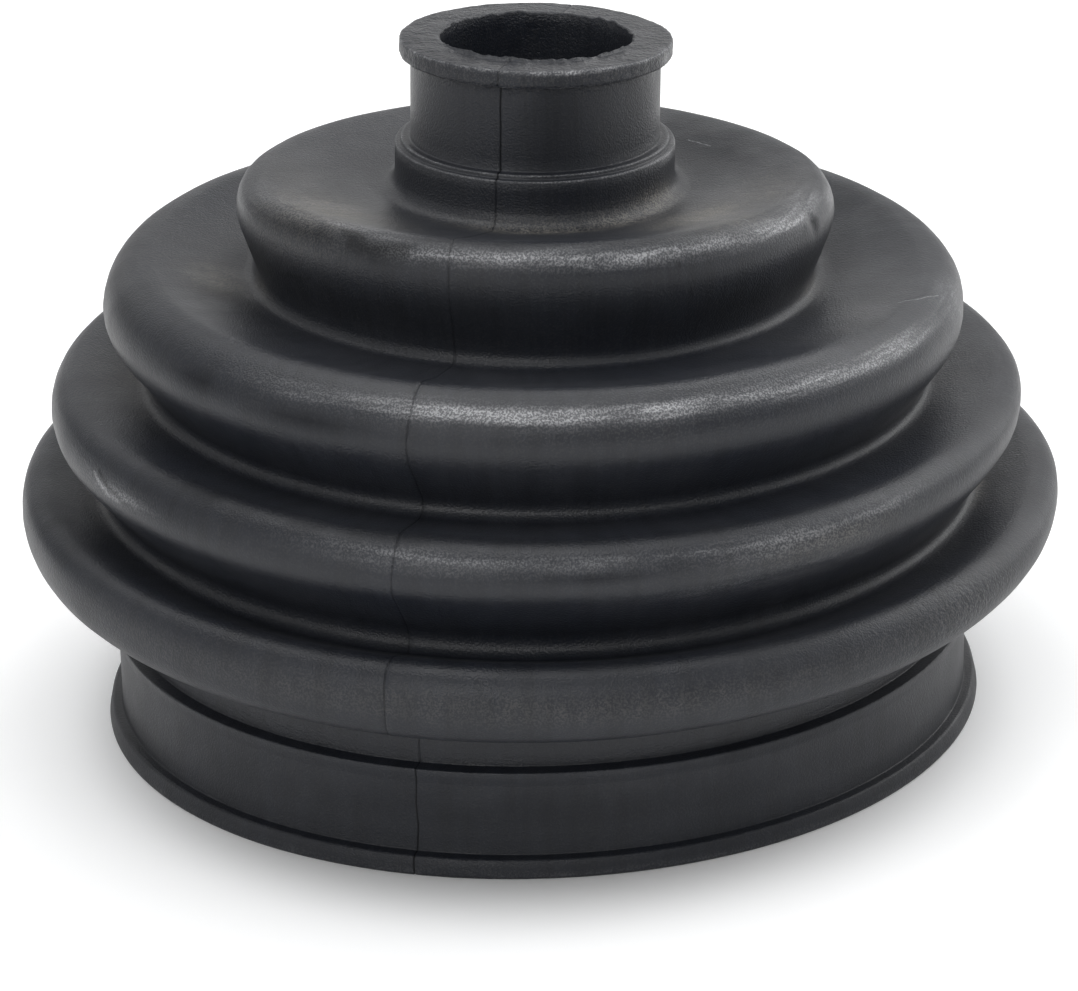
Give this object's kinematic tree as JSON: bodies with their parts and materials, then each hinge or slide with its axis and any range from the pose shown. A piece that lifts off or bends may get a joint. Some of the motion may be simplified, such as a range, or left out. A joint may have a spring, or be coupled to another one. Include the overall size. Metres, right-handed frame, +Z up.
{
  "type": "rubber bellows boot",
  "caption": "Stepped rubber bellows boot with a wide clamp collar at the base and a narrow flanged neck, to seal a moving joint against dirt and hold its grease in.",
  "frame": {"origin": "centre of the wide collar's open end, on the plane that the boot stands on", "axes": "+Z up along the boot's axis, from the wide collar to the small one"},
  "size_m": [0.1122, 0.1122, 0.0746],
  "materials": {
    "rubber": "satin black moulded rubber with a light dusty bloom"
  },
  "bodies": {
    "root": {"bellows_boot": "rubber"}
  },
  "joints": []
}
